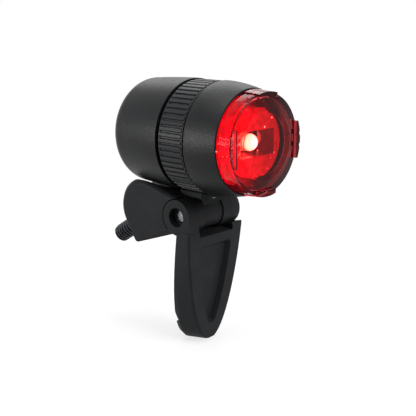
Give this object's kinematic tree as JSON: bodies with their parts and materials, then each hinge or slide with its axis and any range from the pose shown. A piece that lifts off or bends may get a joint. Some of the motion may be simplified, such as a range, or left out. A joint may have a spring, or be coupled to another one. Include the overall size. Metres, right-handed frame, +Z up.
{
  "type": "bicycle rear light",
  "caption": "Round battery rear light with a red lens and a ribbed twist ring, on a tilting quick-release bracket with a lever and a threaded mounting stud.",
  "frame": {"origin": "middle of the flat seat on the bracket where the threaded stud leaves it", "axes": "+Z up as the light is mounted, lens facing -Y, pivot pin along X, stud pointing back and down in the YZ plane"},
  "size_m": [0.0344, 0.0642, 0.0821],
  "materials": {
    "black_plastic": "satin moulded",
    "inner_plastic": "moulded",
    "black_steel": "black zinc",
    "bright_steel": "ground",
    "red_lens": "clear",
    "red_reflector": "polished",
    "black_rubber": "matte",
    "led_resin": "clear",
    "board_green": "coated",
    "chip_black": "moulded",
    "switch_glass": "clear",
    "contact_brass": "plated",
    "cell_metal": "satin",
    "magnet_nickel": "plated"
  },
  "bodies": {
    "bracket": {"mount_arm": "black_plastic", "stud": "black_steel", "pivot_pin": "bright_steel", "rest_pad": "black_rubber"},
    "lever": {"lever": "black_plastic"},
    "lamp": {"lamp_foot": "black_plastic", "foot_screws": "bright_steel", "chassis_tube": "inner_plastic", "front_housing": "black_plastic", "lens": "red_lens", "lens_seal": "black_rubber", "reflector": "red_reflector", "led": "led_resin", "led_board": "board_green", "board_parts": "chip_black", "reed_switch": "switch_glass", "contact_springs": "contact_brass", "battery_cells": "cell_metal", "battery_sleeve": "inner_plastic", "cap_seal": "black_rubber"},
    "ring": {"switch_ring": "black_plastic", "ring_magnet": "magnet_nickel"},
    "cap": {"rear_cap": "black_plastic", "cell_bridge": "contact_brass"}
  },
  "joints": [
    {"name": "lever_swing", "type": "hinge", "parent": "bracket", "child": "lever", "pos_m": [0, -0.02223, 0.00424], "axis": [-1, 0, 0], "range_deg": [0, 60]},
    {"name": "lamp_tilt", "type": "hinge", "parent": "bracket", "child": "lamp", "pos_m": [0, -0.02223, 0.00424], "axis": [1, 0, 0], "range_deg": [0, 20]},
    {"name": "ring_turn", "type": "hinge", "parent": "lamp", "child": "ring", "pos_m": [0, -0.03028, 0.02784], "axis": [0, 1, 0], "range_deg": [0, 20]},
    {"name": "cap_turn", "type": "hinge", "parent": "lamp", "child": "cap", "pos_m": [0, -0.03028, 0.02784], "axis": [0, 1, 0], "range_deg": [0, 40]}
  ]
}
